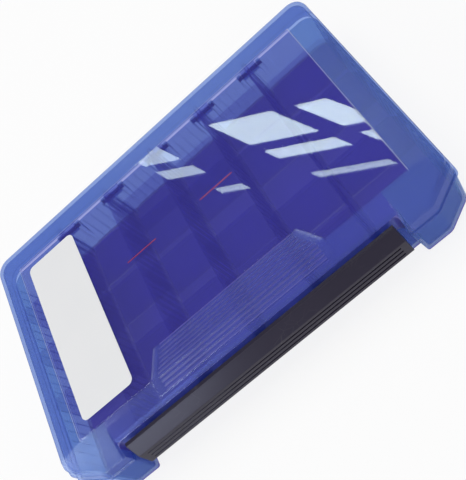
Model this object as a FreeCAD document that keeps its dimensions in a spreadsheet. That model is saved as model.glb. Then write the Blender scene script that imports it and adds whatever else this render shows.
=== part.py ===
"""Flat tackle box: a tray with partitions and dividers, a domed lid and a full-length front latch.

Millimetres, +Z up. The origin is the middle of the underside of the closed box. X runs along
the length of the box, and the latch is at the front, on the -Y side.
"""
import FreeCAD, Part
import os
import re

import Sketcher
from FreeCAD import Rotation, Vector

DIMENSIONS = {
    # The whole box, seen from above. The front is cut back between two corner blocks for the latch.
    "half_length": 138.4,
    "half_depth": 94,
    "corner_radius": 11,
    "chamfer_run": 20.7,
    "chamfer_angle": 32,
    "tray_rounding": 7,
    "lip_rounding": 4,
    "skirt_rounding": 6,
    "nose_rounding": 1.5,
    "recess_half_length": 98.8,
    "recess_front": 84.7,
    "recess_rounding": 3,
    "wall": 1.8,
    "parting_height": 26.3,
    "parting_gap": 0.2,
    # Tray: its walls lean in towards the foot.
    "floor_thickness": 2,
    "tray_rim_inset": 0.9,
    "tray_foot_inset": 3.6,
    "tray_rear": 89.5,
    "recess_draft": 1.2,
    "foot_bevel": 0.8,
    "rail_front": 90,
    "rail_half_length": 92.6,
    "rail_height": 3,
    "ledge_height": 1.6,
    "guide_thickness": 1.2,
    "guide_reach": 4,
    "rib_width": 0.8,
    "rib_spacing": 6.2,
    # Partitions run from front to back, and the dividers stand in their grooves.
    "bay_pitch": 41.8,
    "partition_thickness": 2.4,
    "partition_top": 37.6,
    "partition_front": 79.4,
    "partition_rear": 84.2,
    "slot_pitch": 7.6,
    "first_slot": 75.2,
    "groove_width": 1.6,
    "groove_depth": 0.6,
    "divider_thickness": 1.2,
    "divider_top": 36.8,
    "divider_corner": 1.5,
    "bead_thickness": 2,
    "end_divider_rise": 4,
    "end_divider_cut": 6,
    "play": 0.2,
    # Lid: a lip, a skirt, a rounded shoulder, a nearly flat border and a raised window panel. The
    # front falls from the window to a brow over the skirt.
    "lip_height": 2,
    "skirt_inset": 0.6,
    "skirt_top": 35.5,
    "brow_height": 37.2,
    "brow_front": 91.2,
    "brow_run": 21,
    "brow_rounding": 8,
    "side_top": 39.2,
    "side_run": 8.4,
    "shoulder_height": 41.1,
    "shoulder_inset": 1.4,
    "shoulder_run": 3,
    "crown_height": 42,
    "crown_inset": 3.4,
    "recess_flare": 1.8,
    "border_top": 42.6,
    "window_top": 43,
    "window_thickness": 1.8,
    "window_half_length": 119.5,
    "window_front": 70,
    "window_rear": 74,
    "window_radius": 4,
    "window_rounding": 3,
    "window_chamfer_run": 2.4,
    "zone_half_length": 101,
    "front_edge_height": 38,
    # The hollow of the lid turns in under the brow, and again under the crown.
    "hollow_turn": 35,
    "hollow_shelf": 37.6,
    "hollow_shelf_front": 82.5,
    "hollow_shelf_recess": 80.6,
    "hollow_shelf_run": 8.8,
    "hollow_ceiling": 39.6,
    "hollow_ceiling_inset": 3.2,
    "hollow_ceiling_front": 74.7,
    "hollow_ceiling_recess": 72.7,
    "grip_height": 0.5,
    "grip_rear": 53.3,
    "grip_front": 80,
    "grip_half_top": 53.8,
    "grip_half_bottom": 63,
    "grip_groove_width": 0.9,
    "grip_groove_depth": 0.4,
    "grip_groove_pitch": 2.6,
    "grip_first_groove": 3.1,
    "grip_groove_margin": 5,
    # Rear hinge: five knuckles on pins, one behind each partition.
    "hinge_y": 90.6,
    "hinge_z": 22.8,
    "hinge_radius": 3,
    "hinge_pin_radius": 1.5,
    "hinge_arm_drop": 15,
    "hinge_arm_root": 4.5,
    "pin_clearance": 0.05,
    "knuckle_width": 12.4,
    "cheek_width": 3,
    "channel_width": 13.4,
    "channel_floor": 86.4,
    # Latch bar, hinged to the front of the lid.
    "latch_half_length": 95.1,
    "latch_pivot_y": 88.5,
    "latch_pivot_z": 35.6,
    "latch_knuckle_radius": 1.6,
    "latch_knuckle_width": 6,
    "latch_knuckle_root": 3.2,
    "latch_pin_radius": 0.8,
    "latch_cheek_width": 3,
    "latch_station_pitch": 54,
    "latch_front": 95,
    "latch_foot_front": 94.8,
    "latch_rear": 88.6,
    "latch_top": 39,
    "latch_land": 2.2,
    "latch_step": 0.4,
    "latch_bevel": 29.2,
    "latch_foot": 16.3,
    "latch_rounding": 1,
    "latch_end_width": 2,
    "latch_end_rise": 8,
    "latch_thickness": 1.3,
    "latch_groove_width": 1.2,
    "latch_groove_depth": 0.5,
    "latch_groove_pitch": 3.35,
    "latch_lowest_groove": 19.8,
    "latch_groove_margin": 4.5,
    "catch_height": 2.4,
    "catch_clearance": 0.25,
    # Label: a thin film on the left of the window panel.
    "label_thickness": 0.15,
    "label_left": 112.6,
    "label_right": 73,
    "label_front": 62,
    "label_rear": 67,
    "label_radius": 4,
}

# Counts and places that repeat.
BAYS = 6
HINGE_STATIONS = BAYS - 1
LATCH_STATIONS = 4
SLOTS = 21
RIBS_PER_BAY = 3
GRIP_GROOVES = 9
LATCH_GROOVES = 3

# The slots that hold a divider in each bay, from the left bay to the right, numbered from the front.
DIVIDER_SLOTS = (
    (6, 11, 16),
    (5, 11, 16),
    (5, 10, 15, 18),
    (4, 8, 14, 17),
    (2, 6, 13, 18),
    (6, 12, 17),
)

# Heights and faces that several sub-parts share.
TRAY_TOP = "(parting_height - parting_gap / 2)"
LID_FOOT = "(parting_height + parting_gap / 2)"
LIP_TOP = f"({LID_FOOT} + lip_height)"
TRAY_DRAFT = "(tray_foot_inset - tray_rim_inset)"
TRAY_BACK = "(tray_rear + tray_rim_inset)"
FIRST_STATION = f"(0 - bay_pitch * {HINGE_STATIONS // 2})"
FIRST_LATCH_STATION = f"(0 - latch_station_pitch * {(LATCH_STATIONS - 1) / 2})"
LATCH_PIN_LENGTH = "(latch_knuckle_width + 2 * play + 2 * latch_cheek_width)"

document = FreeCAD.newDocument("TackleBox")


def fill_sheet():
    """Put every driving dimension in the sheet under its own name."""
    cells = document.addObject("Spreadsheet::Sheet", "Sizes")
    for row, (name, size) in enumerate(DIMENSIONS.items(), start=1):
        cells.set(f"A{row}", name)
        cells.set(f"B{row}", str(size))
        cells.setAlias(f"B{row}", name)
    document.recompute()
    return cells


def named(text):
    """Point the dimension names in an expression at the sheet."""
    return re.sub("[a-z_]+", lambda word: refer(word.group()), text)


def refer(word):
    """A dimension's reference, or a function's name unchanged."""
    return f"Sizes.{word}" if word in DIMENSIONS else word


def number(text):
    """Work out an expression of dimension names."""
    result = sheet.evalExpression(named(text))
    return float(getattr(result, "Value", result))


def origin_item(body, role):
    """One of the body's own origin planes or axes."""
    return [item for item in body.Origin.OriginFeatures if item.Role == role][0]


def new_body(name):
    """Start a sub-part."""
    body = document.addObject("PartDesign::Body", name)
    body.Label = name
    return body


def sketch_on(body, plane, name, offset="0"):
    """Attach a sketch to one of the body's own origin planes, moved along its normal."""
    sketch = body.newObject("Sketcher::SketchObject", name)
    sketch.AttachmentSupport = [(origin_item(body, plane), "")]
    sketch.MapMode = "FlatFace"
    sketch.setExpression("AttachmentOffset.Base.z", named(offset))
    return sketch


def constrain(sketch, kind, *where, size):
    """Add a driving constraint whose size is an expression."""
    index = sketch.addConstraint(Sketcher.Constraint(kind, *where, number(size)))
    sketch.setExpression(f"Constraints[{index}]", named(size))


def tangent_point(x, y, distance, angle):
    """A place at a distance from a corner, in the direction of an angle."""
    return f"{x} + ({distance}) * cos({angle})", f"{y} + ({distance}) * sin({angle})"


def middle_of_arc(x, y, radius, arriving, leaving):
    """The middle of the arc that rounds a corner, on the corner's own bisector."""
    half_turn = f"(({leaving}) - ({arriving})) / 2"
    towards = f"({arriving} + {leaving}) / 2 + 90"
    return tangent_point(x, y, f"({radius}) * (1 / cos({half_turn}) - 1)", towards)


def place(x, y):
    """A point in a sketch's plane."""
    return Vector(number(x), number(y), 0)


def draw_loop(sketch, corners):
    """Draw a closed anticlockwise loop of corners (x, y).

    A rounded corner adds its radius and the directions in which the outline reaches and leaves it.
    """
    stops = []
    for corner in corners:
        if len(corner) == 2:
            stops.append((corner, None))
            continue
        x, y, radius, arriving, leaving = corner
        distance = f"({radius}) * tan((({leaving}) - ({arriving})) / 2)"
        stops.append((tangent_point(x, y, f"0 - {distance}", arriving), corner))
        stops.append((tangent_point(x, y, distance, leaving), None))
    first = sketch.GeometryCount
    for index, (start, rounded) in enumerate(stops):
        end = stops[(index + 1) % len(stops)][0]
        if rounded:
            sketch.addGeometry(Part.Arc(place(*start), place(*middle_of_arc(*rounded)), place(*end)))
        else:
            sketch.addGeometry(Part.LineSegment(place(*start), place(*end)))
    for index, ((x, y), rounded) in enumerate(stops):
        edge = first + index
        previous = first + (index - 1) % len(stops)
        sketch.addConstraint(Sketcher.Constraint("Coincident", previous, 2, edge, 1))
        constrain(sketch, "DistanceX", -1, 1, edge, 1, size=x)
        constrain(sketch, "DistanceY", -1, 1, edge, 1, size=y)
        if rounded:
            constrain(sketch, "Radius", edge, size=rounded[2])


def draw_circle(sketch, x, y, radius):
    """Draw a circle about a point."""
    circle = Part.Circle(Vector(number(x), number(y), 0), Vector(0, 0, 1), number(radius))
    edge = sketch.addGeometry(circle)
    constrain(sketch, "DistanceX", -1, 1, edge, 3, size=x)
    constrain(sketch, "DistanceY", -1, 1, edge, 3, size=y)
    constrain(sketch, "Radius", edge, size=radius)


def rectangle(left, bottom, right, top):
    """Corners of an upright rectangle."""
    return [(left, bottom), (right, bottom), (right, top), (left, top)]


def extrude(body, kind, sketch, name, length, symmetric=False, reverse=False):
    """Pad or pocket a sketch by a length."""
    feature = body.newObject(f"PartDesign::{kind}", name)
    feature.Profile = sketch
    feature.setExpression("Length", named(length))
    if symmetric:
        feature.SideType = "Symmetric"
    feature.Reversed = reverse
    return feature


def loft(body, kind, name, lower, upper):
    """Join two outlines with straight walls, adding or taking away."""
    feature = body.newObject(f"PartDesign::{kind}Loft", name)
    feature.Profile = lower
    feature.Sections = [upper]
    feature.Ruled = True
    return feature


def repeat(body, features, name, axis, pitch, count):
    """Repeat features along one of the body's own axes."""
    pattern = body.newObject("PartDesign::LinearPattern", name)
    pattern.Originals = features
    pattern.Direction = (origin_item(body, axis), [""])
    pattern.setExpression("Length", named(f"({pitch}) * {count - 1}"))
    pattern.Occurrences = count
    body.Tip = pattern
    return pattern


def slab(body, plane, name, corners, length, offset="0", symmetric=False, kind="Pad"):
    """Extrude one straight-sided profile."""
    sketch = sketch_on(body, plane, f"{name}Profile", offset)
    draw_loop(sketch, corners)
    return extrude(body, kind, sketch, name, length, symmetric)


def round_edges(body, name, radius, wanted):
    """Fillet the edges that a test picks out of the body so far."""
    document.recompute()
    base = body.Tip
    picked = [f"Edge{index}" for index, edge in enumerate(base.Shape.Edges, start=1) if wanted(edge)]
    feature = body.newObject("PartDesign::Fillet", name)
    feature.Base = (base, picked)
    feature.setExpression("Radius", named(radius))
    return feature


def mirrored(corner):
    """A corner's mirror image in the other half, where a loop meets it from its other side."""
    x, y, *rounding = corner
    if rounding:
        radius, arriving, leaving = rounding
        rounding = [radius, f"0 - ({leaving})", f"0 - ({arriving})"]
    return (f"0 - ({x})", y, *rounding)


def mirrored_loop(right):
    """Close a loop over both halves: the right half's corners, then their mirror images."""
    return right + [mirrored(corner) for corner in reversed(right)]


def chamfered_corners(side, front, rear, run, rounding, radius):
    """The right half of an outline whose front corner is cut off: its three corners, all rounded."""
    return [
        (f"{side} - ({run})", front, rounding, "0", "chamfer_angle"),
        (side, f"{front} + ({run}) * tan(chamfer_angle)", rounding, "chamfer_angle", "90"),
        (side, rear, radius, "90", "180"),
    ]


def outer_corners(inset, rounding, back="half_depth"):
    """The right half of the box from above, every wall moved in by inset."""
    return chamfered_corners(
        f"half_length - ({inset})", f"({inset}) - half_depth", f"{back} - ({inset})",
        f"chamfer_run - ({inset}) * (1 - tan(chamfer_angle / 2))", rounding, f"corner_radius - ({inset})")


def with_recess(side, rear, front, corners):
    """Close a loop whose front is cut back between two noses.

    The recess has its own side and rear, and the nose beside it reaches the front.
    """
    nose = (side, front, "nose_rounding", "0 - 90", "0")
    return mirrored_loop([(side, rear), nose] + corners)


def box_outline(inset, rounding, recess_inset="0", back="half_depth", flare="0"):
    """The whole box from above, with the latch recess cut into its front."""
    side = f"recess_half_length + ({recess_inset}) + ({flare})"
    rear = f"({recess_inset}) - recess_front"
    return with_recess(side, rear, f"({inset}) - half_depth", outer_corners(inset, rounding, back))


def roof_corners(inset, front, run, rounding):
    """The right half of the roof at a height: side and rear moved in, and the front moved back."""
    return chamfered_corners(
        f"half_length - ({inset})", f"0 - ({front})", f"half_depth - ({inset})",
        run, rounding, f"corner_radius - ({inset})")


def brow_slope_at(height):
    """Distance of the roof's front slope from the middle of the box at a height."""
    fall = "((brow_front - window_front) / (border_top - brow_height))"
    return f"(window_front + {fall} * (border_top - ({height})))"


def outline_sketch(body, name, height, corners):
    """An outline at a height."""
    sketch = sketch_on(body, "XY_Plane", name, height)
    draw_loop(sketch, corners)
    return sketch


def tray_outline(height, thickness="0"):
    """The tray from above at a height, or a wall's thickness further in."""
    inset = f"tray_foot_inset - {TRAY_DRAFT} * ({height}) / {TRAY_TOP} + ({thickness})"
    recess = f"recess_draft - recess_draft * ({height}) / {TRAY_TOP} + ({thickness})"
    return box_outline(inset, "tray_rounding", recess, TRAY_BACK)


def build_tray():
    """The lower half: floor, leaning walls, corner blocks, guides, ribs, catch rail and hinge cheeks."""
    body = new_body("base_tray")
    mouth = f"{TRAY_TOP} + 1"
    stages = (
        ("Additive", "Foot", "0", "foot_bevel", "foot_bevel", "0"),
        ("Additive", "Block", "foot_bevel", "0", TRAY_TOP, "0"),
        ("Subtractive", "Hollow", "floor_thickness", "wall", mouth, "wall"),
    )
    for kind, name, low, low_thickness, high, high_thickness in stages:
        lower = outline_sketch(body, f"{name}Low", low, tray_outline(low, low_thickness))
        upper = outline_sketch(body, f"{name}High", high, tray_outline(high, high_thickness))
        loft(body, kind, name, lower, upper)
    add_catch_rail(body)
    add_hinge_channels(body)
    add_hinge_cheeks(body)
    add_guides(body)
    add_wall_ribs(body)
    add_end_lands(body)
    return body


def add_catch_rail(body):
    """A rail along the tray's front wall, under the lid's ledge, that the latch closes over."""
    slab(body, "YZ_Plane", "CatchRail", [
        ("0 - rail_front", f"{TRAY_TOP} - rail_height"),
        ("wall / 2 - recess_front", f"{TRAY_TOP} - 2 * rail_height"),
        ("wall / 2 - recess_front", TRAY_TOP),
        ("0 - rail_front", TRAY_TOP),
    ], "2 * rail_half_length", symmetric=True)


def add_hinge_channels(body):
    """An upright channel in the rear wall behind each partition, where a lid knuckle hangs."""
    left = f"{FIRST_STATION} - channel_width / 2"
    right = f"{FIRST_STATION} + channel_width / 2"
    backing = rectangle(f"{left} - wall", "channel_floor - wall", f"{right} + wall", "channel_floor")
    wall = slab(body, "XY_Plane", "ChannelWall", backing, TRAY_TOP)
    repeat(body, [wall], "ChannelWalls", "X_Axis", "bay_pitch", HINGE_STATIONS)
    opening = rectangle(left, "channel_floor", right, "half_depth")
    cut = slab(body, "XY_Plane", "Channel", opening, f"{TRAY_TOP} + 1", f"{TRAY_TOP} + 1", kind="Pocket")
    repeat(body, [cut], "Channels", "X_Axis", "bay_pitch", HINGE_STATIONS)


def add_hinge_cheeks(body):
    """A bored cheek on either side of each channel, with an arm running down into the wall."""
    arm = [
        ("hinge_y - hinge_arm_root", "hinge_z - hinge_arm_drop"),
        ("hinge_y - hinge_radius", "hinge_z - hinge_arm_drop"),
        ("hinge_y + hinge_radius", "hinge_z"),
        ("hinge_y", "hinge_z + hinge_radius"),
        ("hinge_y - hinge_arm_root", "hinge_z + hinge_radius"),
    ]
    starts = {
        "Left": f"{FIRST_STATION} - channel_width / 2 - cheek_width",
        "Right": f"{FIRST_STATION} + channel_width / 2",
    }
    cheeks = []
    for side, start in starts.items():
        cheeks.append(slab(body, "YZ_Plane", f"{side}CheekArm", arm, "cheek_width", start))
        end = sketch_on(body, "YZ_Plane", f"{side}CheekEndProfile", start)
        draw_circle(end, "hinge_y", "hinge_z", "hinge_radius")
        cheeks.append(extrude(body, "Pad", end, f"{side}CheekEnd", "cheek_width"))
    repeat(body, cheeks, "Cheeks", "X_Axis", "bay_pitch", HINGE_STATIONS)
    bore = sketch_on(body, "YZ_Plane", "HingeBoreProfile")
    draw_circle(bore, "hinge_y", "hinge_z", "hinge_pin_radius")
    extrude(body, "Pocket", bore, "HingeBore", "2 * half_length", symmetric=True)


def add_guides(body):
    """Two pairs of upright guides for each partition, on the front wall and on the rear wall."""
    profiles = {
        "Front": [
            ("recess_draft + wall / 2 - recess_front", "floor_thickness / 2"),
            ("guide_reach - partition_front", "floor_thickness / 2"),
            ("guide_reach - partition_front", TRAY_TOP),
            ("wall / 2 - recess_front", TRAY_TOP),
        ],
        "Rear": rectangle(
            "partition_rear - guide_reach", "floor_thickness / 2", "channel_floor - wall / 2", TRAY_TOP),
    }
    slot = "(partition_thickness / 2 + play)"
    starts = {
        "Left": f"{FIRST_STATION} - {slot} - guide_thickness",
        "Right": f"{FIRST_STATION} + {slot}",
    }
    guides = []
    for end, corners in profiles.items():
        for side, start in starts.items():
            guides.append(slab(body, "YZ_Plane", f"{end}{side}Guide", corners, "guide_thickness", start))
    repeat(body, guides, "Guides", "X_Axis", "bay_pitch", HINGE_STATIONS)


def add_wall_ribs(body):
    """Three thin upright ribs in the middle of every bay's rear wall and the inner bays' front wall."""
    rear = [
        (f"tray_rear - {TRAY_DRAFT} - wall - rib_width", "floor_thickness / 2"),
        (f"tray_rear - {TRAY_DRAFT} - wall / 2", "floor_thickness / 2"),
        ("tray_rear - wall / 2", TRAY_TOP),
        ("tray_rear - wall - rib_width", TRAY_TOP),
    ]
    front = [
        ("recess_draft + wall / 2 - recess_front", "floor_thickness / 2"),
        ("recess_draft + wall + rib_width - recess_front", "floor_thickness / 2"),
        ("wall + rib_width - recess_front", TRAY_TOP),
        ("wall / 2 - recess_front", TRAY_TOP),
    ]
    for end, corners, bays in (("Rear", rear, BAYS), ("Front", front, BAYS - 2)):
        start = f"0 - bay_pitch * {(bays - 1) / 2} - rib_spacing - rib_width / 2"
        rib = slab(body, "YZ_Plane", f"{end}Rib", corners, "rib_width", start)
        ribs = repeat(body, [rib], f"{end}Ribs", "X_Axis", "bay_pitch", bays)
        ribs.Direction2 = (origin_item(body, "X_Axis"), [""])
        ribs.setExpression("Length2", named(f"rib_spacing * {RIBS_PER_BAY - 1}"))
        ribs.Occurrences2 = RIBS_PER_BAY


def add_end_lands(body):
    """Raised lands on both end walls that leave grooves for the end bays' dividers."""
    low = f"half_length - tray_rim_inset - {TRAY_DRAFT} - wall"
    high = "half_length - tray_rim_inset - wall"
    corners = [
        (f"{low} - groove_depth - play", "floor_thickness / 2"),
        (f"{low} + wall / 2", "floor_thickness / 2"),
        (f"{high} + wall / 2", TRAY_TOP),
        (f"{high} - groove_depth - play", TRAY_TOP),
    ]
    sketch = sketch_on(body, "XZ_Plane", "LandProfile", "first_slot - slot_pitch / 2")
    draw_loop(sketch, corners)
    draw_loop(sketch, [(f"0 - ({x})", y) for x, y in reversed(corners)])
    land = extrude(body, "Pad", sketch, "Land", "slot_pitch - groove_width", symmetric=True)
    repeat(body, [land], "Lands", "Y_Axis", "slot_pitch", SLOTS - 1)


def build_partition(number_from_left):
    """One front-to-back partition, grooved on both faces."""
    body = new_body(f"partition_{number_from_left + 1}")
    slab(body, "YZ_Plane", "Plate", [
        ("0 - partition_front", "floor_thickness"),
        ("partition_rear", "floor_thickness"),
        ("partition_rear", "partition_top"),
        ("0 - partition_front", "partition_top"),
    ], "partition_thickness", symmetric=True)
    face = "partition_thickness / 2"
    edges = ("0 - first_slot - groove_width / 2", "groove_width / 2 - first_slot")
    sketch = sketch_on(body, "XY_Plane", "GroovePlan", "partition_top + 1")
    draw_loop(sketch, rectangle(f"{face} - groove_depth", edges[0], f"{face} + 1", edges[1]))
    draw_loop(sketch, rectangle(f"0 - {face} - 1", edges[0], f"groove_depth - {face}", edges[1]))
    groove = extrude(body, "Pocket", sketch, "Groove", "partition_top + 2")
    repeat(body, [groove], "Grooves", "Y_Axis", "slot_pitch", SLOTS)
    body.setExpression("Placement.Base.x", named(f"{FIRST_STATION} + bay_pitch * {number_from_left}"))
    return body


def inner_divider_corners():
    """A divider between two partitions, its ends in their grooves."""
    reach = "(bay_pitch / 2 - partition_thickness / 2 + groove_depth - play)"
    return mirrored_loop([
        (reach, "floor_thickness"),
        (reach, "divider_top - divider_corner"),
        (f"{reach} - divider_corner", "divider_top"),
    ])


def end_divider_corners(side):
    """A divider in an end bay, measured from the bay's middle: its outer end leans with the end wall."""
    middle = f"bay_pitch * {(BAYS - 1) / 2}"
    inner = "play - bay_pitch / 2 + partition_thickness / 2 - groove_depth"
    wall_low = f"half_length - tray_foot_inset - wall - play + {TRAY_DRAFT} * floor_thickness / {TRAY_TOP}"
    wall_high = "half_length - tray_rim_inset - wall - play"
    corners = [
        (inner, "floor_thickness"),
        (f"{wall_low} - {middle}", "floor_thickness"),
        (f"{wall_high} - {middle}", TRAY_TOP),
        (f"{wall_high} - {middle}", f"{TRAY_TOP} + end_divider_rise"),
        (f"{wall_high} - {middle} - end_divider_cut", "divider_top"),
        (f"{inner} + divider_corner", "divider_top"),
        (inner, "divider_top - divider_corner"),
    ]
    return corners if side > 0 else [(f"0 - ({x})", z) for x, z in reversed(corners)]


def build_divider(bay, slot):
    """One removable divider with a thicker bead along its top."""
    body = new_body(f"divider_{bay + 1}_{slot:02d}")
    if 0 < bay < BAYS - 1:
        corners = inner_divider_corners()
    else:
        corners = end_divider_corners(1 if bay else -1)
    slab(body, "XZ_Plane", "Plate", corners, "divider_thickness", symmetric=True)
    bead_reach = "bay_pitch / 2 - partition_thickness - divider_corner"
    bead = rectangle(f"0 - ({bead_reach})", "divider_top - bead_thickness", bead_reach, "divider_top")
    slab(body, "XZ_Plane", "Bead", bead, "bead_thickness", symmetric=True)
    body.setExpression("Placement.Base.x", named(f"bay_pitch * {bay - (BAYS - 1) / 2}"))
    body.setExpression("Placement.Base.y", named(f"slot_pitch * {slot} - first_slot"))
    return body


def build_lid():
    """The upper half: lip, skirt, roof, hollow, window panel, grip and both hinges' knuckles."""
    body = new_body("lid")
    lip = outline_sketch(body, "LipPlan", LID_FOOT, mirrored_loop(outer_corners("0", "lip_rounding")))
    extrude(body, "Pad", lip, "Lip", "lip_height")
    skirt = mirrored_loop(outer_corners("skirt_inset", "skirt_rounding"))
    stages = [("Skirt", LIP_TOP, skirt), ("Brow", "skirt_top", skirt)]
    for name, height, inset, front, run, rounding in (
        ("Side", "brow_height", "skirt_inset", "brow_front", "brow_run", "brow_rounding"),
        ("Shoulder", "side_top", "skirt_inset", "", "side_run", "brow_rounding"),
        ("Crown", "shoulder_height", "shoulder_inset", "", "shoulder_run", "window_rounding"),
        ("Border", "crown_height", "crown_inset", "", "window_chamfer_run", "window_rounding"),
    ):
        right = roof_corners(inset, front or brow_slope_at(height), run, rounding)
        stages.append((name, height, mirrored_loop(right)))
    stages.append(("", "border_top", window_outline()))
    loft_stages(body, "Additive", stages)
    add_window_panel(body)
    cut_latch_recess(body)
    add_lid_hollow(body)
    add_grip(body)
    add_lid_ledge(body)
    add_latch_knuckles(body)
    add_rear_knuckles(body)
    return body


def loft_stages(body, kind, stages, suffix=""):
    """Stack straight-walled stages between outlines: the name of the stage above each, and its height."""
    for (name, low, low_corners), (_, high, high_corners) in zip(stages, stages[1:]):
        lower = outline_sketch(body, f"{name}{suffix}Foot", low, low_corners)
        upper = outline_sketch(body, f"{name}{suffix}Top", high, high_corners)
        loft(body, kind, f"{name}{suffix}", lower, upper)


def window_outline(inset="0"):
    """The window panel from above."""
    return mirrored_loop(chamfered_corners(
        f"window_half_length - ({inset})", f"({inset}) - window_front", f"window_rear - ({inset})",
        "window_chamfer_run", "window_rounding", "window_radius"))


def add_window_panel(body):
    """The raised window panel, and the lower zone in front of it that falls to the latch recess."""
    panel = outline_sketch(body, "PanelPlan", "border_top", window_outline())
    extrude(body, "Pad", panel, "WindowPanel", "window_top - border_top")
    fall = "((window_top - front_edge_height) / (recess_front - window_front))"
    reach = "(half_depth + 1)"
    slab(body, "YZ_Plane", "FrontZone", [
        (f"0 - {reach}", f"window_top - {fall} * ({reach} - window_front)"),
        ("0 - window_front", "window_top"),
        ("0 - window_front", "window_top + 1"),
        (f"0 - {reach}", "window_top + 1"),
    ], "2 * zone_half_length", symmetric=True, kind="Pocket")


def cut_latch_recess(body):
    """The recess along the lid's front that the latch fills, a little wider at its top."""
    outlines = []
    for name, height, half_length in (
        ("Foot", f"{LID_FOOT} - 1", "recess_half_length"),
        ("Top", "window_top + 1", "recess_half_length + recess_flare"),
    ):
        outlines.append(outline_sketch(body, f"LatchRecess{name}", height, [
            (f"0 - ({half_length})", "0 - half_depth - 1"),
            (half_length, "0 - half_depth - 1"),
            (half_length, "0 - recess_front", "recess_rounding", "90", "180"),
            (f"0 - ({half_length})", "0 - recess_front", "recess_rounding", "180", "270"),
        ]))
    loft(body, "Subtractive", "LatchRecess", *outlines)


def add_lid_hollow(body):
    """The inside of the lid, in stages that follow the outside a wall's thickness further in."""
    inset = "skirt_inset + wall"
    side = "recess_half_length + wall + recess_flare"
    turned = box_outline(inset, "skirt_rounding", "wall", flare="recess_flare / 2")
    front = "0 - hollow_shelf_front"
    shelf = with_recess(side, "0 - hollow_shelf_recess", front, roof_corners(
        inset, "hollow_shelf_front", "hollow_shelf_run", "skirt_rounding"))
    front = "0 - hollow_ceiling_front"
    ceiling = with_recess(side, "0 - hollow_ceiling_recess", front, roof_corners(
        "hollow_ceiling_inset", "hollow_ceiling_front", "shoulder_run", "window_rounding"))
    loft_stages(body, "Subtractive", (
        ("Skirt", f"{LID_FOOT} - 1", box_outline(inset, "lip_rounding", "wall")),
        ("Brow", "hollow_turn", turned),
        ("Shelf", "hollow_shelf", shelf),
        ("", "hollow_ceiling", ceiling),
    ), "Hollow")
    loft_stages(body, "Subtractive", (
        ("Border", "hollow_ceiling", mirrored_loop(roof_corners(
            "hollow_ceiling_inset", "hollow_ceiling_recess", "window_chamfer_run", "window_rounding"))),
        ("", "window_top - window_thickness", window_outline("wall / 2")),
    ), "Hollow")


def add_grip(body):
    """The raised, grooved thumb grip in front of the middle of the window."""
    surface = "(window_top + grip_height)"
    fall = "((window_top - front_edge_height) / (recess_front - window_front))"
    slab(body, "XY_Plane", "GripFlat", [
        ("0 - grip_half_bottom", "0 - window_front"),
        ("grip_half_bottom", "0 - window_front"),
        ("grip_half_top", "0 - grip_rear"),
        ("0 - grip_half_top", "0 - grip_rear"),
    ], "grip_height + wall / 2", "window_top - wall / 2")
    drop = f"{fall} * (grip_front - window_front)"
    slab(body, "YZ_Plane", "GripSlope", [
        ("0 - grip_front", f"window_top - {drop} - wall / 2"),
        ("0 - window_front", "window_top - wall / 2"),
        ("0 - window_front", surface),
        ("0 - grip_front", f"{surface} - {drop}"),
    ], "2 * grip_half_bottom", symmetric=True)
    spread = "(grip_half_bottom - grip_half_top) / (window_front - grip_rear)"
    for index in range(GRIP_GROOVES):
        distance = f"(grip_rear + grip_first_groove + grip_groove_pitch * {index})"
        if number(distance) < number("window_front"):
            half_width = f"grip_half_top + {spread} * ({distance} - grip_rear)"
            depth_below = "0"
        else:
            half_width = "grip_half_bottom"
            depth_below = f"{fall} * ({distance} - window_front)"
        slab(body, "YZ_Plane", f"GripGroove{index + 1}", rectangle(
            f"0 - {distance} - grip_groove_width / 2", f"{surface} - grip_groove_depth - {depth_below}",
            f"grip_groove_width / 2 - {distance}", f"{surface} + 1",
        ), f"2 * ({half_width} - grip_groove_margin)", symmetric=True, kind="Pocket")


def add_lid_ledge(body):
    """The ledge along the lid's front wall that lies on the tray's catch rail."""
    slab(body, "YZ_Plane", "Ledge", rectangle(
        "0 - rail_front", LID_FOOT, "wall / 2 - recess_front", f"{LID_FOOT} + ledge_height",
    ), "2 * rail_half_length", symmetric=True)


def add_latch_knuckles(body):
    """Bored knuckles on the lid's front wall, on arms that come up from below, for the latch pins."""
    start = f"{FIRST_LATCH_STATION} - latch_knuckle_width / 2"
    flank = "latch_knuckle_radius * cos(45)"
    arm = slab(body, "YZ_Plane", "LatchKnuckleArm", [
        (f"0 - latch_pivot_y - {flank}", f"latch_pivot_z - {flank}"),
        ("wall / 2 - recess_front", f"{LID_FOOT} + ledge_height / 2"),
        ("wall / 2 - recess_front", "latch_pivot_z - latch_knuckle_root"),
        ("latch_knuckle_radius - latch_pivot_y", "latch_pivot_z"),
    ], "latch_knuckle_width", start)
    end = sketch_on(body, "YZ_Plane", "LatchKnuckleProfile", start)
    draw_circle(end, "0 - latch_pivot_y", "latch_pivot_z", "latch_knuckle_radius")
    knuckle = extrude(body, "Pad", end, "LatchKnuckle", "latch_knuckle_width")
    repeat(body, [arm, knuckle], "LatchKnuckles", "X_Axis", "latch_station_pitch", LATCH_STATIONS)
    bore = sketch_on(body, "YZ_Plane", "LatchBoreProfile")
    draw_circle(bore, "0 - latch_pivot_y", "latch_pivot_z", "latch_pin_radius + pin_clearance")
    extrude(body, "Pocket", bore, "LatchBore", "2 * latch_half_length", symmetric=True)


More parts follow.
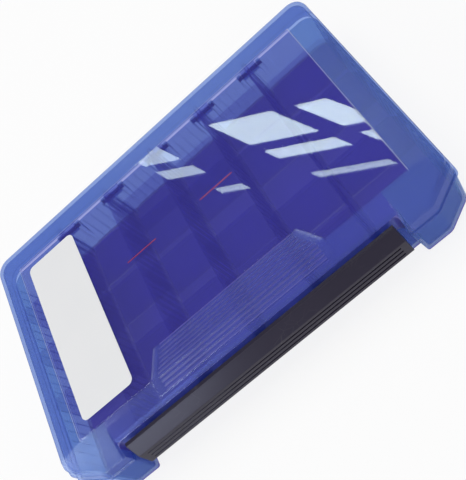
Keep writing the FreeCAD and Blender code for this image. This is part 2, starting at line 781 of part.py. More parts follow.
def add_rear_knuckles(body):
    """Bored knuckles that hang from the lid's rear skirt into the tray's hinge channels."""
    start = f"{FIRST_STATION} - knuckle_width / 2"
    arm = slab(body, "YZ_Plane", "RearKnuckleArm", [
        ("hinge_y", "hinge_z"),
        ("hinge_y + hinge_radius", "hinge_z"),
        ("half_depth", LIP_TOP),
        ("half_depth - skirt_inset", f"{LIP_TOP} + 2 * lip_height"),
        ("half_depth - skirt_inset - wall / 2", f"{LIP_TOP} + 2 * lip_height"),
    ], "knuckle_width", start)
    end = sketch_on(body, "YZ_Plane", "RearKnuckleProfile", start)
    draw_circle(end, "hinge_y", "hinge_z", "hinge_radius")
    knuckle = extrude(body, "Pad", end, "RearKnuckle", "knuckle_width")
    repeat(body, [arm, knuckle], "RearKnuckles", "X_Axis", "bay_pitch", HINGE_STATIONS)
    bore = sketch_on(body, "YZ_Plane", "RearBoreProfile")
    draw_circle(bore, "hinge_y", "hinge_z", "hinge_pin_radius + pin_clearance")
    extrude(body, "Pocket", bore, "RearBore", "2 * half_length", symmetric=True)


def latch_front_at(height):
    """Distance of the latch's leaning front face from the middle of the box at a height."""
    lean = "(latch_front - latch_foot_front) / (latch_bevel - latch_foot)"
    return f"(latch_foot_front + {lean} * (({height}) - latch_foot))"


def latch_bevel_at(back, depth="0"):
    """Height of the latch's bevel a distance behind its front, some part of its thickness down."""
    rise = "((latch_top - latch_step - latch_bevel) / (latch_front - latch_rear - latch_land))"
    return f"(latch_bevel + {rise} * ({back}) - ({depth}) * latch_thickness * sqrt(1 + {rise}^2))"


def build_latch():
    """The full-length latch: a land on top, a steep bevel, a front with finger grooves, and cheeks."""
    body = new_body("latch_bar")
    underside = "(latch_top - latch_thickness)"
    slope = "((latch_front - latch_rear - latch_land) / (latch_top - latch_step - latch_bevel))"
    inner_turn = f"({slope} * ({underside} - {latch_bevel_at('0', depth='1')}) - latch_front)"
    slab(body, "YZ_Plane", "Section", [
        ("0 - latch_foot_front", "latch_foot"),
        ("latch_thickness - latch_foot_front", "latch_foot"),
        ("latch_thickness - latch_front", latch_bevel_at("latch_thickness", depth="1")),
        (inner_turn, underside),
        ("0 - latch_rear", underside),
        ("0 - latch_rear", "latch_top"),
        ("0 - latch_rear - latch_land", "latch_top"),
        ("0 - latch_rear - latch_land", "latch_top - latch_step"),
        ("0 - latch_front", "latch_bevel"),
    ], "2 * latch_half_length", symmetric=True)
    round_edges(body, "NoseRounding", "latch_rounding", is_latch_nose)
    for index in range(LATCH_GROOVES):
        height = f"(latch_lowest_groove + latch_groove_pitch * {index})"
        slab(body, "YZ_Plane", f"FingerGroove{index + 1}", rectangle(
            "0 - latch_front - 1", f"{height} - latch_groove_width / 2",
            f"latch_groove_depth - {latch_front_at(height)}", f"{height} + latch_groove_width / 2",
        ), "2 * (latch_half_length - latch_groove_margin)", symmetric=True, kind="Pocket")
    add_catch_bead(body)
    add_latch_ends(body)
    add_latch_cheeks(body)
    return body


def is_latch_nose(edge):
    """The long outer edges of the latch's front."""
    box = edge.BoundBox
    return box.XLength > 1 and box.YMax < number("0 - latch_foot_front") + 0.01


def add_catch_bead(body):
    """The bead inside the latch that closes under the front of the catch rail."""
    rail = f"{TRAY_TOP} - rail_height"
    tip = "0 - rail_front - catch_clearance"
    root = f"latch_thickness / 2 - {latch_front_at(rail)}"
    slab(body, "YZ_Plane", "CatchBead", [
        (root, f"{rail} - play - catch_height"),
        (tip, f"{rail} - play - catch_height / 2"),
        (tip, f"{rail} - play - catch_height / 4"),
        (root, f"{rail} - play"),
    ], "2 * rail_half_length", symmetric=True)


def add_latch_ends(body):
    """A plate inside each end of the latch."""
    inner = "latch_thickness - latch_rear"
    mid_wall = "latch_thickness / 2"
    corners = [
        (f"{mid_wall} - latch_foot_front", "latch_foot + latch_thickness"),
        ("latch_thickness - latch_foot_front", "latch_foot + latch_thickness"),
        (inner, "latch_foot + latch_end_rise"),
        (inner, "latch_pivot_z + latch_thickness"),
        ("0 - latch_rear", "latch_top - latch_thickness / 2"),
        ("0 - latch_rear - latch_land", "latch_top - latch_thickness"),
        (f"{mid_wall} - latch_front", latch_bevel_at(mid_wall, depth="0.5")),
    ]
    for side, start in (("Left", "0 - latch_half_length"), ("Right", "latch_half_length - latch_end_width")):
        slab(body, "YZ_Plane", f"{side}End", corners, "latch_end_width", start)


def add_latch_cheeks(body):
    """A pair of bored cheeks on each side of every knuckle of the lid."""
    mid_wall = "latch_thickness / 2"
    arm = [
        (f"{mid_wall} - latch_front", latch_bevel_at(mid_wall, depth="0.5")),
        ("0 - latch_pivot_y", "latch_pivot_z - latch_knuckle_radius"),
        ("0 - latch_pivot_y", "latch_pivot_z + latch_knuckle_radius"),
        ("0 - latch_rear - latch_land / 2", "latch_top - latch_thickness / 2"),
        ("0 - latch_rear - latch_land", "latch_top - latch_thickness"),
    ]
    gap = "(latch_knuckle_width / 2 + play)"
    starts = {
        "Left": f"{FIRST_LATCH_STATION} - {gap} - latch_cheek_width",
        "Right": f"{FIRST_LATCH_STATION} + {gap}",
    }
    cheeks = []
    for side, start in starts.items():
        cheeks.append(slab(body, "YZ_Plane", f"{side}CheekArm", arm, "latch_cheek_width", start))
        end = sketch_on(body, "YZ_Plane", f"{side}CheekEndProfile", start)
        draw_circle(end, "0 - latch_pivot_y", "latch_pivot_z", "latch_knuckle_radius")
        cheeks.append(extrude(body, "Pad", end, f"{side}CheekEnd", "latch_cheek_width"))
    repeat(body, cheeks, "Cheeks", "X_Axis", "latch_station_pitch", LATCH_STATIONS)
    bore = sketch_on(body, "YZ_Plane", "LatchBoreProfile")
    draw_circle(bore, "0 - latch_pivot_y", "latch_pivot_z", "latch_pin_radius")
    reach = f"latch_station_pitch * {LATCH_STATIONS - 1} + {LATCH_PIN_LENGTH} + 1"
    extrude(body, "Pocket", bore, "LatchBore", reach, symmetric=True)


def build_pin(name, radius, length, x, y, z):
    """A hinge pin lying along the box, centred at x."""
    pin = document.addObject("Part::Cylinder", name)
    pin.Label = name
    pin.setExpression("Radius", named(radius))
    pin.setExpression("Height", named(length))
    pin.Placement.Rotation = Rotation(Vector(0, 1, 0), 90)
    pin.setExpression("Placement.Base.x", named(f"{x} - ({length}) / 2"))
    pin.setExpression("Placement.Base.y", named(y))
    pin.setExpression("Placement.Base.z", named(z))
    return pin


def build_pins():
    """One pin through each rear knuckle and one through each latch knuckle."""
    pins = []
    rear_length = "channel_width + 2 * cheek_width"
    for index in range(HINGE_STATIONS):
        x = f"{FIRST_STATION} + bay_pitch * {index}"
        name = f"hinge_pin_{index + 1}"
        pins.append(build_pin(name, "hinge_pin_radius", rear_length, x, "hinge_y", "hinge_z"))
    for index in range(LATCH_STATIONS):
        x = f"{FIRST_LATCH_STATION} + latch_station_pitch * {index}"
        name = f"latch_pin_{index + 1}"
        pivot = ("0 - latch_pivot_y", "latch_pivot_z")
        pins.append(build_pin(name, "latch_pin_radius", LATCH_PIN_LENGTH, x, *pivot))
    return pins


def build_label():
    """The label: a thin film with round corners on the left of the window."""
    body = new_body("label_film")
    plan = sketch_on(body, "XY_Plane", "LabelPlan", "window_top")
    corners = (
        ("0 - label_left", "0 - label_front"),
        ("0 - label_right", "0 - label_front"),
        ("0 - label_right", "label_rear"),
        ("0 - label_left", "label_rear"),
    )
    draw_loop(plan, [
        (x, y, "label_radius", f"{90 * quarter - 90}", f"{90 * quarter}")
        for quarter, (x, y) in enumerate(corners)
    ])
    extrude(body, "Pad", plan, "Film", "label_thickness")
    return body


def check(parts):
    """Stop when a feature failed or a sub-part isn't a sound solid."""
    failed = [item.Name for item in document.Objects if {"Invalid", "Error"} & set(item.State)]
    if failed:
        raise RuntimeError(f"failed features: {failed}")
    for part in parts:
        if part.Shape.isNull() or not part.Shape.isValid() or len(part.Shape.Solids) != 1:
            raise RuntimeError(f"{part.Label} is not one valid solid")


sheet = fill_sheet()
parts = [build_tray(), build_lid(), build_latch(), build_label()]
parts += [build_partition(index) for index in range(HINGE_STATIONS)]
parts += [build_divider(bay, slot) for bay, slots in enumerate(DIVIDER_SLOTS) for slot in slots]
parts += build_pins()
document.recompute()
check(parts)
os.makedirs("parts", exist_ok=True)
for part in parts:
    part.Shape.exportStep(f"parts/{part.Label}.step")
    print(part.Label, round(part.Shape.Volume), "mm3")
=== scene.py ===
"""A flat, translucent blue tackle box, closed and latched, on a plain white floor."""
import math

import bmesh
import bpy
from mathutils import Matrix, Vector


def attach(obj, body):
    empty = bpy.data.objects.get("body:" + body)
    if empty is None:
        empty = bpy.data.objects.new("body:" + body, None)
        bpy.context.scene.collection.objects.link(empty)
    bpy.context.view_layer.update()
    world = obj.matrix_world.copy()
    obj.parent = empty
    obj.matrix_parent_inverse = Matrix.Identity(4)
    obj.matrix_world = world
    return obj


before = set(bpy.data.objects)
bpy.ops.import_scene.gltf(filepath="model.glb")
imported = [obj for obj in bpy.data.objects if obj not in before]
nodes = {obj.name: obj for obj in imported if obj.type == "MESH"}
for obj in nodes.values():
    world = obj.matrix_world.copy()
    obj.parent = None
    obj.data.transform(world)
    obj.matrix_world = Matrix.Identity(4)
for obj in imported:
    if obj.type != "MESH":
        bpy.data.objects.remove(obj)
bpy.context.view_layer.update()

MM = 0.001

# Camera at the photograph's angle, in metres. It is rolled, so that the long box fills the frame.
camera_place = Vector((0.1174, -0.3503, 0.4146))
camera_aim = Vector((0.0196, -0.0298, 0.0430))
camera_roll = math.radians(53.26)
camera_lens = 65.8

# Places on the lid and the tray, in metres, as the solids have them.
window_half_length = 119.5 * MM
window_front = -70.0 * MM
window_rear = 74.0 * MM
window_top = 43.0 * MM
under_window = 40.0 * MM
rim_width = 0.6 * MM
grip_rear = -53.3 * MM
grip_front = -80.0 * MM
grip_rear_half_length = 53.8 * MM
grip_front_half_length = 63.0 * MM
grip_foot = 35.5 * MM
grip_groove_margin = 5.0 * MM
grip_groove_pitch = 2.6 * MM
grip_first_groove = -56.4 * MM
grip_end_narrow = 1.2 * MM
grip_end_wide = 3.0 * MM
zone_half_length = 101.0 * MM
zone_floor = 37.0 * MM
recess_half_length = 100.0 * MM
recess_front = -88.0 * MM
recess_rear = -84.9 * MM
recess_floor = 20.0 * MM
tray_floor = 2.3 * MM
mask_blur = 0.4 * MM


# Shader node helpers.

def add_node(tree, kind, **settings):
    """A new node, with its properties set by name."""
    node = tree.nodes.new(kind)
    for name, value in settings.items():
        setattr(node, name, value)
    return node


def set_input(tree, node, name, value):
    """Gives an input a plain value, or joins it to another node's output."""
    if isinstance(value, bpy.types.NodeSocket):
        tree.links.new(value, node.inputs[name])
    else:
        node.inputs[name].default_value = value


def maths(tree, operation, first, second=0.0, clamp=False):
    """The output of one Math node."""
    node = add_node(tree, "ShaderNodeMath", operation=operation, use_clamp=clamp)
    set_input(tree, node, 0, first)
    set_input(tree, node, 1, second)
    return node.outputs[0]


def product(tree, *factors):
    """The factors multiplied together."""
    total = factors[0]
    for factor in factors[1:]:
        total = maths(tree, "MULTIPLY", total, factor)
    return total


def shifted(tree, base, share, change):
    """The base value plus a share of a change."""
    value = maths(tree, "MULTIPLY_ADD", share, change)
    value.node.inputs[2].default_value = base
    return value


def blend_colours(tree, share, first, second):
    """The output of one colour Mix node."""
    node = add_node(tree, "ShaderNodeMix", data_type="RGBA")
    set_input(tree, node, 0, share)
    set_input(tree, node, 6, first)
    set_input(tree, node, 7, second)
    return node.outputs[2]


def map_range(tree, value, low, high):
    """A smooth rise from 0 where the value is low to 1 where it is high."""
    node = add_node(tree, "ShaderNodeMapRange", interpolation_type="SMOOTHSTEP")
    set_input(tree, node, "Value", value)
    set_input(tree, node, "From Min", low)
    set_input(tree, node, "From Max", high)
    return node.outputs["Result"]


def object_axes(tree):
    """The x, y and z of the shaded point in the object's own space."""
    parts = add_node(tree, "ShaderNodeSeparateXYZ")
    set_input(tree, parts, 0, tree.nodes.new("ShaderNodeTexCoord").outputs["Object"])
    return parts.outputs


def new_group(name, inputs, outputs):
    """An empty node group with named inputs (kind, default value) and outputs (kind)."""
    group = bpy.data.node_groups.new(name, "ShaderNodeTree")
    for label, (kind, value) in inputs.items():
        socket = group.interface.new_socket(label, in_out="INPUT", socket_type=kind)
        socket.default_value = value
    for label, kind in outputs.items():
        group.interface.new_socket(label, in_out="OUTPUT", socket_type=kind)
    start = group.nodes.new("NodeGroupInput")
    end = group.nodes.new("NodeGroupOutput")
    return group, start.outputs, end.inputs


def place_group(tree, group, **values):
    """One use of a node group, with its own values."""
    node = add_node(tree, "ShaderNodeGroup", node_tree=group)
    for label, value in values.items():
        set_input(tree, node, label.replace("_", " ").capitalize(), value)
    return node.outputs


# Effects that several materials share.

def make_grain():
    """The fine, even tooth of moulded or sprayed plastic."""
    group, given, result = new_group(
        "moulded grain",
        {"Pitch": ("NodeSocketFloat", 0.0006)},
        {"Height": "NodeSocketFloat", "Cloud": "NodeSocketFloat"},
    )
    place = group.nodes.new("ShaderNodeTexCoord").outputs["Object"]
    scale = maths(group, "DIVIDE", 1.0, given["Pitch"])
    fine = add_node(group, "ShaderNodeTexNoise")
    set_input(group, fine, "Vector", place)
    set_input(group, fine, "Scale", scale)
    set_input(group, fine, "Detail", 2.0)
    cloud = add_node(group, "ShaderNodeTexNoise")
    set_input(group, cloud, "Vector", place)
    set_input(group, cloud, "Scale", 22.0)
    set_input(group, cloud, "Detail", 4.0)
    group.links.new(fine.outputs["Fac"], result["Height"])
    group.links.new(cloud.outputs["Fac"], result["Cloud"])
    return group


def make_scratches():
    """Thin, sparse handling scratches that run in two directions."""
    group, given, result = new_group(
        "handling scratches",
        {"Spacing": ("NodeSocketFloat", 0.012), "Width": ("NodeSocketFloat", 0.012)},
        {"Mask": "NodeSocketFloat"},
    )
    place = group.nodes.new("ShaderNodeTexCoord").outputs["Object"]
    scale = maths(group, "DIVIDE", 1.0, given["Spacing"])
    masks = []
    for turn, seed in ((25, 0.0), (-62, 0.37)):
        lay = add_node(group, "ShaderNodeMapping", vector_type="TEXTURE")
        set_input(group, lay, "Vector", place)
        set_input(group, lay, "Location", (seed, seed, 0.0))
        set_input(group, lay, "Rotation", (0.0, 0.0, math.radians(turn)))
        set_input(group, lay, "Scale", (9.0, 1.0, 1.0))
        cells = add_node(group, "ShaderNodeTexVoronoi", feature="DISTANCE_TO_EDGE")
        set_input(group, cells, "Vector", lay.outputs[0])
        set_input(group, cells, "Scale", scale)
        patch = add_node(group, "ShaderNodeTexNoise")
        set_input(group, patch, "Vector", place)
        set_input(group, patch, "Scale", 60.0)
        line = map_range(group, cells.outputs["Distance"], given["Width"], 0.0)
        broken = map_range(group, patch.outputs["Fac"], 0.52, 0.62)
        masks.append(maths(group, "MULTIPLY", line, broken))
    group.links.new(maths(group, "MAXIMUM", *masks), result["Mask"])
    return group


grain = make_grain()
scratches = make_scratches()


# Materials.

def new_material(name):
    """An empty node material and its output's surface input."""
    material = bpy.data.materials.new(name)
    material.use_nodes = True
    tree = material.node_tree
    tree.nodes.clear()
    output = tree.nodes.new("ShaderNodeOutputMaterial")
    return material, tree, output.inputs["Surface"]


def add_bump(tree, height, strength, distance, normal=None):
    """A Bump node's normal."""
    bump = add_node(tree, "ShaderNodeBump")
    set_input(tree, bump, "Strength", strength)
    set_input(tree, bump, "Distance", distance)
    set_input(tree, bump, "Height", height)
    if normal is not None:
        set_input(tree, bump, "Normal", normal)
    return bump.outputs["Normal"]


def soft_edges(tree, radius):
    """The normal of the surface with its sharp edges slightly rounded, as moulded edges are."""
    node = add_node(tree, "ShaderNodeBevel", samples=4)
    set_input(tree, node, "Radius", radius)
    return node.outputs["Normal"]


def box_mask(tree, half_length, front, rear, floor):
    """1 inside a block of the object's own space, 0 outside it."""
    x, y, z = object_axes(tree)
    across = map_range(tree, maths(tree, "ABSOLUTE", x), half_length + mask_blur, half_length)
    behind = map_range(tree, y, rear + mask_blur, rear)
    ahead = map_range(tree, y, front - mask_blur, front)
    above = map_range(tree, z, floor - mask_blur, floor)
    return product(tree, across, behind, ahead, above)


def grip_masks(tree):
    """Masks that are 1 on the thumb grip, along its grooves, and along its raised ends."""
    x, y, z = object_axes(tree)
    half_length = add_node(tree, "ShaderNodeMapRange")
    set_input(tree, half_length, "Value", y)
    set_input(tree, half_length, "From Min", grip_rear)
    set_input(tree, half_length, "From Max", window_front)
    set_input(tree, half_length, "To Min", grip_rear_half_length)
    set_input(tree, half_length, "To Max", grip_front_half_length)
    room = maths(tree, "SUBTRACT", half_length.outputs[0], maths(tree, "ABSOLUTE", x))
    behind = map_range(tree, y, grip_rear, grip_rear - mask_blur)
    ahead = map_range(tree, y, grip_front, grip_front + mask_blur)
    above = map_range(tree, z, grip_foot, grip_foot + mask_blur)
    grip = product(tree, behind, ahead, above, map_range(tree, room, 0.0, mask_blur))
    turns = maths(tree, "DIVIDE", maths(tree, "SUBTRACT", grip_first_groove, y), grip_groove_pitch)
    swing = maths(tree, "COSINE", maths(tree, "MULTIPLY", turns, 2 * math.pi))
    inner = map_range(tree, room, grip_groove_margin, grip_groove_margin + mask_blur)
    grooves = product(tree, map_range(tree, swing, 0.2, 0.7), grip, inner)
    on_window = map_range(tree, y, window_front, window_front + mask_blur)
    ends = product(tree, map_range(tree, room, grip_end_wide, grip_end_narrow), on_window, grip)
    return grip, grooves, ends


def see_through(tree, surface, tint, opacity, shader):
    """Lets most of the light straight through, coloured by the plastic, and less of it at a slant."""
    slant = add_node(tree, "ShaderNodeLayerWeight")
    mirrored = maths(tree, "POWER", slant.outputs["Facing"], 5.0)
    opacity = maths(tree, "ADD", opacity, mirrored, clamp=True)
    clear = add_node(tree, "ShaderNodeBsdfTransparent")
    set_input(tree, clear, "Color", tint)
    mix = add_node(tree, "ShaderNodeMixShader")
    set_input(tree, mix, "Fac", opacity)
    tree.links.new(clear.outputs[0], mix.inputs[1])
    tree.links.new(shader.outputs[0], mix.inputs[2])
    tree.links.new(mix.outputs[0], surface)


frosted_roughness = 0.28
polished_roughness = 0.015
bump_distance = 0.1 * MM
clear_tint = (0.67, 0.69, 0.90, 1.0)
frosted_tint = (0.58, 0.67, 0.90, 1.0)
# The front zone lets less light through at its left end than at its right: painted shade across the
# zone.
zone_left_tint = (0.56, 0.62, 0.90, 1.0)
zone_right_tint = (0.64, 0.72, 0.96, 1.0)
wall_tint = (0.60, 0.73, 0.87, 1.0)
divider_tint = (0.89, 0.89, 0.97, 1.0)


def make_blue_lid():
    """Blue plastic of the lid: a clear, polished window in a frosted border, and a grooved grip, with
    painted shade in the grooves, in the recess by the latch and across the front zone, and painted
    highlights along the window's rim and the grip's ends.
    """
    material, tree, surface = new_material("blue_lid_plastic")
    texture = place_group(tree, grain, pitch=0.0005)
    marks = place_group(tree, scratches, spacing=0.010, width=0.008)
    window = box_mask(tree, window_half_length, window_front, window_rear, under_window)
    inside_half_length = window_half_length - rim_width
    inside = box_mask(tree, inside_half_length, window_front, window_rear - rim_width, under_window)
    rim = maths(tree, "SUBTRACT", window, inside)
    grip, grooves, ends = grip_masks(tree)
    rim = maths(tree, "SUBTRACT", rim, grip, clamp=True)
    recess = box_mask(tree, recess_half_length, recess_front, recess_rear, recess_floor)
    polished = maths(tree, "SUBTRACT", window, grip, clamp=True)
    zone = box_mask(tree, zone_half_length, recess_rear, window_front, zone_floor)
    sleek = maths(tree, "SUBTRACT", zone, grip, clamp=True)
    zone = maths(tree, "MAXIMUM", zone, grip)
    shader = add_node(tree, "ShaderNodeBsdfPrincipled")
    border = blend_colours(tree, texture["Cloud"], (0.13, 0.26, 0.75, 1.0), (0.18, 0.33, 0.83, 1.0))
    lower = blend_colours(tree, texture["Cloud"], (0.11, 0.14, 0.68, 1.0), (0.15, 0.18, 0.76, 1.0))
    panel = blend_colours(tree, texture["Cloud"], (0.11, 0.08, 0.64, 1.0), (0.15, 0.11, 0.72, 1.0))
    colour = blend_colours(tree, zone, border, lower)
    colour = blend_colours(tree, polished, colour, panel)
    # Painted shade: the grip's grooves and the recess between the lid and the latch bar are coloured
    # deep violet and made more opaque, to stand in for the shade that falls in them.
    painted_shade = maths(tree, "MAXIMUM", grooves, recess)
    colour = blend_colours(tree, painted_shade, colour, (0.05, 0.015, 0.42, 1.0))
    # Painted highlight: a thin, lighter and more opaque band along the window's ends and rear edge, and
    # a fainter one along the grip's ends.
    edge_highlight = maths(tree, "MAXIMUM", rim, maths(tree, "MULTIPLY", ends, 0.3))
    colour = blend_colours(tree, edge_highlight, colour, (0.58, 0.65, 0.92, 1.0))
    set_input(tree, shader, "Base Color", colour)
    rough = shifted(tree, frosted_roughness, polished, polished_roughness - frosted_roughness)
    rough = maths(tree, "SUBTRACT", rough, maths(tree, "MULTIPLY", sleek, 0.08))
    rough = maths(tree, "ADD", rough, maths(tree, "MULTIPLY", painted_shade, 0.34), clamp=True)
    tooth = shifted(tree, 1.0, polished, -0.99)
    worn = product(tree, marks["Mask"], tooth, 0.08)
    set_input(tree, shader, "Roughness", maths(tree, "ADD", rough, worn))
    height = maths(tree, "MULTIPLY", texture["Height"], tooth)
    rounded = soft_edges(tree, 1.2 * MM)
    set_input(tree, shader, "Normal", add_bump(tree, height, 0.12, bump_distance, rounded))
    set_input(tree, shader, "IOR", 1.9)
    set_input(tree, shader, "Specular IOR Level", 1.0)
    opacity = shifted(tree, 0.19, polished, -0.07)
    opacity = maths(tree, "ADD", opacity, maths(tree, "MULTIPLY", painted_shade, 0.38))
    opacity = maths(tree, "ADD", opacity, maths(tree, "MULTIPLY", edge_highlight, 0.34))
    # Painted shade: the front zone's tint runs from darker at the left end to lighter at the right.
    rightward = map_range(tree, object_axes(tree)[0], -zone_half_length, zone_half_length)
    zone_tint = blend_colours(tree, rightward, zone_left_tint, zone_right_tint)
    tint = blend_colours(tree, zone, frosted_tint, zone_tint)
    tint = blend_colours(tree, polished, tint, clear_tint)
    see_through(tree, surface, tint, opacity, shader)
    return material


def make_blue_tray():
    """Blue plastic of the tray: lightly frosted walls, and a floor made deeper in colour and more
    opaque, as painted shade for the shadow beneath the box.
    """
    material, tree, surface = new_material("blue_tray_plastic")
    texture = place_group(tree, grain, pitch=0.0005)
    # Painted shade: the floor plate is coloured deeper and made more opaque to stand in for the
    # shadowed ground seen through it.
    floor = map_range(tree, object_axes(tree)[2], tray_floor, tray_floor - mask_blur / 2)
    shader = add_node(tree, "ShaderNodeBsdfPrincipled")
    walls = blend_colours(tree, texture["Cloud"], (0.18, 0.33, 0.78, 1.0), (0.23, 0.39, 0.84, 1.0))
    painted_shade_floor = blend_colours(tree, texture["Cloud"], (0.08, 0.04, 0.54, 1.0), (0.11, 0.06, 0.62, 1.0))
    set_input(tree, shader, "Base Color", blend_colours(tree, floor, walls, painted_shade_floor))
    set_input(tree, shader, "Specular IOR Level", 0.25)
    set_input(tree, shader, "Roughness", shifted(tree, frosted_roughness, texture["Cloud"], 0.10))
    rounded = soft_edges(tree, 1.0 * MM)
    set_input(tree, shader, "Normal", add_bump(tree, texture["Height"], 0.08, bump_distance, rounded))
    opacity = shifted(tree, 0.16, floor, 0.44)
    tint = blend_colours(tree, floor, wall_tint, clear_tint)
    see_through(tree, surface, tint, opacity, shader)
    return material


def make_blue_divider():
    """The thin blue plastic of the partitions and dividers."""
    material, tree, surface = new_material("blue_divider_plastic")
    texture = place_group(tree, grain, pitch=0.0005)
    shader = add_node(tree, "ShaderNodeBsdfPrincipled")
    colour = blend_colours(tree, texture["Cloud"], (0.12, 0.11, 0.62, 1.0), (0.17, 0.16, 0.70, 1.0))
    set_input(tree, shader, "Base Color", colour)
    set_input(tree, shader, "Roughness", shifted(tree, 0.34, texture["Cloud"], 0.10))
    set_input(tree, shader, "Normal", add_bump(tree, texture["Height"], 0.06, bump_distance))
    see_through(tree, surface, divider_tint, 0.10, shader)
    return material


def make_black_latch():
    """Satin, nearly black plastic of the latch bar."""
    material, tree, surface = new_material("black_latch_plastic")
    texture = place_group(tree, grain, pitch=0.0004)
    marks = place_group(tree, scratches, spacing=0.008, width=0.012)
    shader = add_node(tree, "ShaderNodeBsdfPrincipled")
    dark = blend_colours(tree, texture["Cloud"], (0.014, 0.011, 0.026, 1.0), (0.020, 0.016, 0.034, 1.0))
    worn = maths(tree, "MULTIPLY", marks["Mask"], 0.3)
    colour = blend_colours(tree, worn, dark, (0.09, 0.08, 0.10, 1.0))
    set_input(tree, shader, "Base Color", colour)
    set_input(tree, shader, "Specular IOR Level", 0.30)
    set_input(tree, shader, "Specular Tint", (0.86, 0.82, 1.0, 1.0))
    set_input(tree, shader, "Roughness", shifted(tree, 0.26, texture["Cloud"], 0.10))
    rounded = soft_edges(tree, 0.5 * MM)
    set_input(tree, shader, "Normal", add_bump(tree, texture["Height"], 0.10, bump_distance, rounded))
    tree.links.new(shader.outputs[0], surface)
    return material


def make_pin_steel():
    """Drawn steel wire of the hinge and latch pins."""
    material, tree, surface = new_material("pin_steel")
    texture = place_group(tree, grain, pitch=0.0003)
    shader = add_node(tree, "ShaderNodeBsdfPrincipled")
    colour = blend_colours(tree, texture["Cloud"], (0.52, 0.53, 0.55, 1.0), (0.66, 0.66, 0.67, 1.0))
    set_input(tree, shader, "Base Color", colour)
    set_input(tree, shader, "Metallic", 1.0)
    set_input(tree, shader, "Roughness", shifted(tree, 0.22, texture["Height"], 0.15))
    set_input(tree, shader, "Normal", add_bump(tree, texture["Height"], 0.1, bump_distance))
    tree.links.new(shader.outputs[0], surface)
    return material


def make_label_film():
    """White glossy film of the bare label."""
    material, tree, surface = new_material("white_label_film")
    texture = place_group(tree, grain, pitch=0.0015)
    shader = add_node(tree, "ShaderNodeBsdfPrincipled")
    colour = blend_colours(tree, texture["Cloud"], (0.82, 0.83, 0.85, 1.0), (0.86, 0.86, 0.87, 1.0))
    set_input(tree, shader, "Base Color", colour)
    set_input(tree, shader, "Roughness", shifted(tree, 0.28, texture["Cloud"], 0.1))
    set_input(tree, shader, "Normal", add_bump(tree, texture["Height"], 0.06, 2 * bump_distance))
    tree.links.new(shader.outputs[0], surface)
    return material


def make_print_red():
    """Red printing ink."""
    material, tree, surface = new_material("red_print")
    texture = place_group(tree, grain, pitch=0.0004)
    shader = add_node(tree, "ShaderNodeBsdfPrincipled")
    colour = blend_colours(tree, texture["Height"], (0.26, 0.006, 0.05, 1.0), (0.32, 0.01, 0.06, 1.0))
    set_input(tree, shader, "Base Color", colour)
    set_input(tree, shader, "Roughness", shifted(tree, 0.30, texture["Height"], 0.1))
    set_input(tree, shader, "Normal", add_bump(tree, texture["Height"], 0.1, bump_distance))
    tree.links.new(shader.outputs[0], surface)
    return material


lid_plastic = make_blue_lid()
tray_plastic = make_blue_tray()
divider_plastic = make_blue_divider()
latch_plastic = make_black_latch()
pin_metal = make_pin_steel()
label_paper = make_label_film()
red_ink = make_print_red()


def material_for(name):
    """The finish of one solid, by its name."""
    if name.startswith(("partition", "divider")):
        return divider_plastic
    if "pin" in name:
        return pin_metal
    return {
        "lid": lid_plastic,
        "base_tray": tray_plastic,
        "latch_bar": latch_plastic,
        "label_film": label_paper,
    }[name]


for name, solid in nodes.items():
    for slot in solid.material_slots:
        slot.material = material_for(name)


# The thin red line printed across the window.

def add_printed_line(name, start, end, middle, width, thickness):
    """A flat strip with round ends, lying on the window panel."""
    shape = bmesh.new()
    outline = []
    for centre, facing in ((end, 0.0), (start, math.pi)):
        for step in range(9):
            angle = facing - math.pi / 2 + math.pi * step / 8
            outline.append((centre + width / 2 * math.cos(angle), middle + width / 2 * math.sin(angle)))
    corners = [shape.verts.new((x, y, window_top)) for x, y in outline]
    face = shape.faces.new(corners)
    raised = bmesh.ops.extrude_face_region(shape, geom=[face])["geom"]
    for part in raised:
        if isinstance(part, bmesh.types.BMVert):
            part.co.z += thickness
    bmesh.ops.recalc_face_normals(shape, faces=shape.faces)
    mesh = bpy.data.meshes.new(name)
    shape.to_mesh(mesh)
    shape.free()
    mesh.materials.append(red_ink)
    line = bpy.data.objects.new(name, mesh)
    bpy.context.scene.collection.objects.link(line)
    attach(line, "lid")


line_middle = 11.5 * MM
line_width = 0.75 * MM
ink_thickness = 0.05 * MM
add_printed_line("printed_line_left", -45 * MM, -22 * MM, line_middle, line_width, ink_thickness)
add_printed_line("printed_line_right", 15 * MM, 40 * MM, line_middle, line_width, ink_thickness)


# Floor, light and camera.

# The mirrored window lies in one level plane. Each pane has its left, right, top and bottom there,
# in metres along the two directions from the origin, and its strength.
pane_origin = Vector((-0.146, 1.104, 1.000))
pane_across = Vector((0.80, -0.60, 0.0))
pane_down = Vector((0.37, -0.93, 0.0))
panes = (
    (-0.289, -0.185, 0.000, 0.146, 12.0),
    (-0.289, -0.185, 0.188, 0.238, 12.0),
    (-0.228, -0.158, 0.322, 0.350, 12.0),
    (0.000, 0.166, 0.000, 0.146, 18.0),
    (0.000, 0.166, 0.188, 0.238, 18.0),
    (0.000, 0.166, 0.328, 0.354, 12.0),
    (0.222, 0.300, 0.000, 0.146, 20.0),
    (0.222, 0.300, 0.188, 0.238, 18.0),
    (0.222, 0.300, 0.328, 0.354, 16.0),
)
pane_colour = (0.84, 1.00, 0.77, 1.0)

# Each card has a name, a corner, its two sides from there, in metres, and its strength.
card_colour = (0.86, 0.97, 1.00, 1.0)
left_cards = (
    ("front_card", (-0.70, -0.34, 0.0), (0.58, -0.02, 0.0), (0.0, 0.0, 0.25), 8.0),
    ("side_card", (-1.0, 0.3, 0.1), (0.0, -1.2, 0.0), (0.0, 0.0, 0.8), 4.0),
    ("brow_card", (-0.92, 0.02, 1.0), (0.30, 0.0, 0.0), (0.0, 0.26, 0.0), 11.0),
)


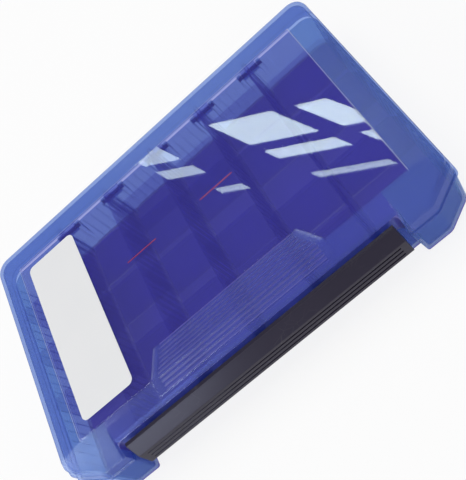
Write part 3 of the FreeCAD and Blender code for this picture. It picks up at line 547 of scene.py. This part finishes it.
def add_floor():
    """A plain white floor that stays white behind the box and keeps its shadow."""
    shape = bmesh.new()
    bmesh.ops.create_grid(shape, x_segments=4, y_segments=4, size=3.0)
    mesh = bpy.data.meshes.new("floor")
    shape.to_mesh(mesh)
    shape.free()
    material, tree, surface = new_material("white_floor")
    paper = add_node(tree, "ShaderNodeBsdfDiffuse")
    set_input(tree, paper, "Color", (0.93, 0.93, 0.94, 1.0))
    glow = add_node(tree, "ShaderNodeEmission")
    path = tree.nodes.new("ShaderNodeLightPath").outputs
    seen = maths(tree, "MAXIMUM", path["Is Camera Ray"], path["Is Glossy Ray"])
    seen = maths(tree, "MAXIMUM", seen, path["Is Transmission Ray"])
    mix = add_node(tree, "ShaderNodeMixShader")
    set_input(tree, mix, "Fac", maths(tree, "MULTIPLY", seen, 0.85))
    tree.links.new(paper.outputs[0], mix.inputs[1])
    tree.links.new(glow.outputs[0], mix.inputs[2])
    tree.links.new(mix.outputs[0], surface)
    mesh.materials.append(material)
    floor = bpy.data.objects.new("floor", mesh)
    floor.location.z = -0.4 * MM
    bpy.context.scene.collection.objects.link(floor)


def add_card(name, corners, material):
    """A bright card that only shows as a reflection, as a window or a lamp does."""
    shape = bmesh.new()
    shape.faces.new([shape.verts.new(corner) for corner in corners])
    mesh = bpy.data.meshes.new(name)
    shape.to_mesh(mesh)
    shape.free()
    mesh.materials.append(material)
    card = bpy.data.objects.new(name, mesh)
    card.visible_camera = False
    card.visible_diffuse = False
    card.visible_transmission = False
    card.visible_volume_scatter = False
    card.visible_shadow = False
    bpy.context.scene.collection.objects.link(card)


def make_card_light(name, colour, strength):
    """Plain light of a card."""
    material, tree, surface = new_material(name)
    glow = add_node(tree, "ShaderNodeEmission")
    set_input(tree, glow, "Color", colour)
    set_input(tree, glow, "Strength", strength)
    tree.links.new(glow.outputs[0], surface)
    return material


def add_window_reflections():
    """The panes of a high window behind the box that the lid mirrors."""
    for number, (left, right, top, bottom, strength) in enumerate(panes, 1):
        light = make_card_light(f"pane_light_{number}", pane_colour, strength)
        corners = [
            pane_origin + pane_across * across + pane_down * down
            for across, down in ((left, top), (right, top), (right, bottom), (left, bottom))
        ]
        add_card(f"window_pane_{number}", corners, light)


def add_left_cards():
    """Cards that lighten the left end of the box: low in front, upright beside it and high above it."""
    for name, *places, strength in left_cards:
        corner, across, up = map(Vector, places)
        light = make_card_light(f"{name}_light", card_colour, strength)
        add_card(name, [corner, corner + across, corner + across + up, corner + up], light)


def add_world():
    """Dim, even light from all round, and white where the camera sees past the floor."""
    world = bpy.data.worlds.new("studio")
    bpy.context.scene.world = world
    world.use_nodes = True
    tree = world.node_tree
    background = tree.nodes["Background"]
    background.inputs["Color"].default_value = (1.0, 1.0, 1.0, 1.0)
    seen = tree.nodes.new("ShaderNodeLightPath").outputs["Is Camera Ray"]
    tree.links.new(shifted(tree, 0.4, seen, 0.6), background.inputs["Strength"])


def add_lamp(name, place, size, power):
    """A soft, square area lamp that points at the box and stays out of its reflections."""
    light = bpy.data.lights.new(name, "AREA")
    light.shape = "SQUARE"
    light.size = size
    light.energy = power
    lamp = bpy.data.objects.new(name, light)
    lamp.location = place
    lamp.rotation_euler = Vector(place).to_track_quat("Z", "Y").to_euler()
    lamp.visible_glossy = False
    bpy.context.scene.collection.objects.link(lamp)


def add_camera():
    """The photograph's camera."""
    camera = bpy.data.objects.new("camera", bpy.data.cameras.new("camera"))
    camera.data.lens = camera_lens
    camera.data.clip_start = 0.01
    forward = (camera_aim - camera_place).normalized()
    level = forward.cross(Vector((0.0, 0.0, 1.0))).normalized()
    upright = level.cross(forward)
    up = upright * math.cos(camera_roll) + level * math.sin(camera_roll)
    right = forward.cross(up)
    turn = Matrix((right, up, -forward)).transposed().to_4x4()
    camera.matrix_world = Matrix.Translation(camera_place) @ turn
    bpy.context.scene.collection.objects.link(camera)
    bpy.context.scene.camera = camera


add_floor()
add_world()
add_lamp("overhead", (0.0, 0.3, 1.6), 1.6, 15.0)
add_lamp("left", (-1.2, -0.8, 0.6), 0.6, 5.5)
add_window_reflections()
add_left_cards()
add_camera()
bpy.context.scene.view_settings.view_transform = "Standard"
bpy.context.scene.cycles.transparent_max_bounces = 32
